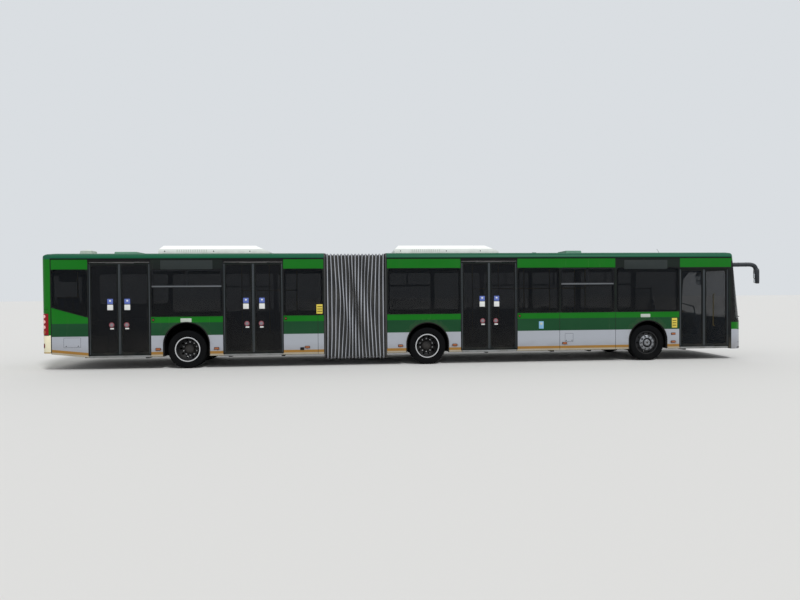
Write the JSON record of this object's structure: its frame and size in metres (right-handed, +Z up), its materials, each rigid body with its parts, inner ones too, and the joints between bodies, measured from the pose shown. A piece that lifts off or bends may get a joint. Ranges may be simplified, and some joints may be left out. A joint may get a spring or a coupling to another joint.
{
  "type": "articulated bus",
  "caption": "Low-floor city bus in two sections joined by a turntable and a pleated bellows, with inward-swinging double doors on one side.",
  "frame": {"origin": "on the ground, in the middle of the bus's length and width, mirrors included", "axes": "+X forward, +Y to the bus's left, +Z up"},
  "size_m": [18.384, 2.81, 3.0649],
  "materials": {
    "green_paint": "semi-gloss",
    "mask_paint": "semi-gloss",
    "white_cover": "satin",
    "tinted_glass": "tinted",
    "door_frame": "satin",
    "lamp_clear": "clear lens",
    "lamp_red": "red lens",
    "dark_plastic": "matte",
    "floor_cover": "matte",
    "seat": "woven",
    "interior": "matte",
    "chassis": "matte",
    "engine_iron": "rough",
    "bellows_cloth": "coated cloth",
    "tyre": "matte",
    "wheel_steel": "worn silver",
    "aluminium": "satin"
  },
  "bodies": {
    "front_section": {"front_floor": "floor_cover", "front_wall_right": "green_paint", "front_wall_left": "green_paint", "front_roof": "green_paint", "front_mask": "mask_paint", "front_glass": "tinted_glass", "headlamps": "lamp_clear", "mirrors": "dark_plastic", "front_roof_unit": "white_cover", "driver_station": "interior", "front_seats": "seat", "front_axle": "chassis", "middle_axle": "chassis", "joint_front_frame": "aluminium"},
    "rear_section": {"rear_floor": "floor_cover", "rear_wall_right": "green_paint", "rear_wall_left": "green_paint", "rear_roof": "green_paint", "rear_mask": "mask_paint", "rear_glass": "tinted_glass", "tail_lamps": "lamp_red", "rear_roof_unit": "white_cover", "rear_seats": "seat", "drive_axle": "chassis", "engine": "engine_iron", "joint_rear_frame": "aluminium", "bellows": "bellows_cloth"},
    "engine_flap": {"engine_flap": "mask_paint"},
    "left_knuckle": {"left_knuckle": "chassis"},
    "right_knuckle": {"right_knuckle": "chassis"},
    "front_right_wheel": {"front_right_tyre": "tyre", "front_right_rim": "wheel_steel"},
    "front_left_wheel": {"front_left_tyre": "tyre", "front_left_rim": "wheel_steel"},
    "middle_right_wheel": {"middle_right_tyre": "tyre", "middle_right_rim": "wheel_steel"},
    "middle_left_wheel": {"middle_left_tyre": "tyre", "middle_left_rim": "wheel_steel"},
    "rear_right_wheel": {"rear_right_tyre": "tyre", "rear_right_rim": "wheel_steel"},
    "rear_left_wheel": {"rear_left_tyre": "tyre", "rear_left_rim": "wheel_steel"},
    "door_1_rear_pillar": {"door_1_rear_pillar": "aluminium"},
    "door_1_rear_leaf": {"door_1_rear_leaf": "door_frame"},
    "door_1_front_pillar": {"door_1_front_pillar": "aluminium"},
    "door_1_front_leaf": {"door_1_front_leaf": "door_frame"},
    "door_2_rear_pillar": {"door_2_rear_pillar": "aluminium"},
    "door_2_rear_leaf": {"door_2_rear_leaf": "door_frame"},
    "door_2_front_pillar": {"door_2_front_pillar": "aluminium"},
    "door_2_front_leaf": {"door_2_front_leaf": "door_frame"},
    "door_3_rear_pillar": {"door_3_rear_pillar": "aluminium"},
    "door_3_rear_leaf": {"door_3_rear_leaf": "door_frame"},
    "door_3_front_pillar": {"door_3_front_pillar": "aluminium"},
    "door_3_front_leaf": {"door_3_front_leaf": "door_frame"},
    "door_4_rear_pillar": {"door_4_rear_pillar": "aluminium"},
    "door_4_rear_leaf": {"door_4_rear_leaf": "door_frame"},
    "door_4_front_pillar": {"door_4_front_pillar": "aluminium"},
    "door_4_front_leaf": {"door_4_front_leaf": "door_frame"}
  },
  "joints": [
    {"name": "articulation", "type": "hinge", "parent": "front_section", "child": "rear_section", "pos_m": [-1.5855, 0, 0.3], "axis": [0, 0, 1], "range_deg": [-54, 54], "deforming": ["bellows"]},
    {"name": "engine_flap", "type": "hinge", "parent": "rear_section", "child": "engine_flap", "pos_m": [-9.1875, 0, 1.425], "axis": [0, 1, 0], "range_deg": [0, 80]},
    {"name": "right_steering", "type": "hinge", "parent": "front_section", "child": "right_knuckle", "pos_m": [6.0875, -0.93, 0.47], "axis": [0, 0, 1], "range_deg": [-45, 45]},
    {"name": "left_steering", "type": "hinge", "parent": "front_section", "child": "left_knuckle", "pos_m": [6.0875, 0.93, 0.47], "axis": [0, 0, 1], "range_deg": [-45, 45]},
    {"name": "front_right_wheel_spin", "type": "hinge", "parent": "right_knuckle", "child": "front_right_wheel", "pos_m": [6.0875, -1.087, 0.47], "axis": [0, 1, 0], "continuous": true},
    {"name": "front_left_wheel_spin", "type": "hinge", "parent": "left_knuckle", "child": "front_left_wheel", "pos_m": [6.0875, 1.087, 0.47], "axis": [0, 1, 0], "continuous": true},
    {"name": "middle_right_wheel_spin", "type": "hinge", "parent": "front_section", "child": "middle_right_wheel", "pos_m": [0.2425, -1.087, 0.47], "axis": [0, 1, 0], "continuous": true},
    {"name": "middle_left_wheel_spin", "type": "hinge", "parent": "front_section", "child": "middle_left_wheel", "pos_m": [0.2425, 1.087, 0.47], "axis": [0, 1, 0], "continuous": true},
    {"name": "rear_right_wheel_spin", "type": "hinge", "parent": "rear_section", "child": "rear_right_wheel", "pos_m": [-5.7475, -1.087, 0.47], "axis": [0, 1, 0], "continuous": true},
    {"name": "rear_left_wheel_spin", "type": "hinge", "parent": "rear_section", "child": "rear_left_wheel", "pos_m": [-5.7475, 1.087, 0.47], "axis": [0, 1, 0], "continuous": true},
    {"name": "door_1_rear_pillar", "type": "hinge", "parent": "front_section", "child": "door_1_rear_pillar", "pos_m": [6.94823, -1.233, 1.5], "axis": [0, 0, 1], "range_deg": [0, 90]},
    {"name": "door_1_rear_leaf", "type": "hinge", "parent": "door_1_rear_pillar", "child": "door_1_rear_leaf", "pos_m": [7.3035, -1.233, 1.5], "axis": [0, 0, -1], "range_deg": [0, 180]},
    {"name": "door_1_front_pillar", "type": "hinge", "parent": "front_section", "child": "door_1_front_pillar", "pos_m": [8.32677, -1.233, 1.5], "axis": [0, 0, -1], "range_deg": [0, 90]},
    {"name": "door_1_front_leaf", "type": "hinge", "parent": "door_1_front_pillar", "child": "door_1_front_leaf", "pos_m": [7.9715, -1.233, 1.5], "axis": [0, 0, 1], "range_deg": [0, 180]},
    {"name": "door_2_rear_pillar", "type": "hinge", "parent": "front_section", "child": "door_2_rear_pillar", "pos_m": [1.10231, -1.233, 1.5], "axis": [0, 0, 1], "range_deg": [0, 90]},
    {"name": "door_2_rear_leaf", "type": "hinge", "parent": "door_2_rear_pillar", "child": "door_2_rear_leaf", "pos_m": [1.4825, -1.233, 1.5], "axis": [0, 0, -1], "range_deg": [0, 180]},
    {"name": "door_2_front_pillar", "type": "hinge", "parent": "front_section", "child": "door_2_front_pillar", "pos_m": [2.58068, -1.233, 1.5], "axis": [0, 0, -1], "range_deg": [0, 90]},
    {"name": "door_2_front_leaf", "type": "hinge", "parent": "door_2_front_pillar", "child": "door_2_front_leaf", "pos_m": [2.2005, -1.233, 1.5], "axis": [0, 0, 1], "range_deg": [0, 180]},
    {"name": "door_3_rear_pillar", "type": "hinge", "parent": "rear_section", "child": "door_3_rear_pillar", "pos_m": [-4.86168, -1.233, 1.5], "axis": [0, 0, 1], "range_deg": [0, 90]},
    {"name": "door_3_rear_leaf", "type": "hinge", "parent": "door_3_rear_pillar", "child": "door_3_rear_leaf", "pos_m": [-4.4815, -1.233, 1.5], "axis": [0, 0, -1], "range_deg": [0, 180]},
    {"name": "door_3_front_pillar", "type": "hinge", "parent": "rear_section", "child": "door_3_front_pillar", "pos_m": [-3.38332, -1.233, 1.5], "axis": [0, 0, -1], "range_deg": [0, 90]},
    {"name": "door_3_front_leaf", "type": "hinge", "parent": "door_3_front_pillar", "child": "door_3_front_leaf", "pos_m": [-3.7635, -1.233, 1.5], "axis": [0, 0, 1], "range_deg": [0, 180]},
    {"name": "door_4_rear_pillar", "type": "hinge", "parent": "rear_section", "child": "door_4_rear_pillar", "pos_m": [-8.07169, -1.233, 1.5], "axis": [0, 0, 1], "range_deg": [0, 90]},
    {"name": "door_4_rear_leaf", "type": "hinge", "parent": "door_4_rear_pillar", "child": "door_4_rear_leaf", "pos_m": [-7.6915, -1.233, 1.5], "axis": [0, 0, -1], "range_deg": [0, 180]},
    {"name": "door_4_front_pillar", "type": "hinge", "parent": "rear_section", "child": "door_4_front_pillar", "pos_m": [-6.59331, -1.233, 1.5], "axis": [0, 0, -1], "range_deg": [0, 90]},
    {"name": "door_4_front_leaf", "type": "hinge", "parent": "door_4_front_pillar", "child": "door_4_front_leaf", "pos_m": [-6.9735, -1.233, 1.5], "axis": [0, 0, 1], "range_deg": [0, 180]}
  ],
  "couplings": [
    {"joint": "left_steering", "follows": "right_steering", "ratio": 1},
    {"joint": "door_1_rear_pillar", "follows": "door_1_rear_leaf", "ratio": 0.5},
    {"joint": "door_1_front_leaf", "follows": "door_1_rear_leaf", "ratio": 1},
    {"joint": "door_1_front_pillar", "follows": "door_1_rear_leaf", "ratio": 0.5},
    {"joint": "door_2_rear_pillar", "follows": "door_2_rear_leaf", "ratio": 0.5},
    {"joint": "door_2_front_leaf", "follows": "door_2_rear_leaf", "ratio": 1},
    {"joint": "door_2_front_pillar", "follows": "door_2_rear_leaf", "ratio": 0.5},
    {"joint": "door_3_rear_pillar", "follows": "door_3_rear_leaf", "ratio": 0.5},
    {"joint": "door_3_front_leaf", "follows": "door_3_rear_leaf", "ratio": 1},
    {"joint": "door_3_front_pillar", "follows": "door_3_rear_leaf", "ratio": 0.5},
    {"joint": "door_4_rear_pillar", "follows": "door_4_rear_leaf", "ratio": 0.5},
    {"joint": "door_4_front_leaf", "follows": "door_4_rear_leaf", "ratio": 1},
    {"joint": "door_4_front_pillar", "follows": "door_4_rear_leaf", "ratio": 0.5}
  ]
}
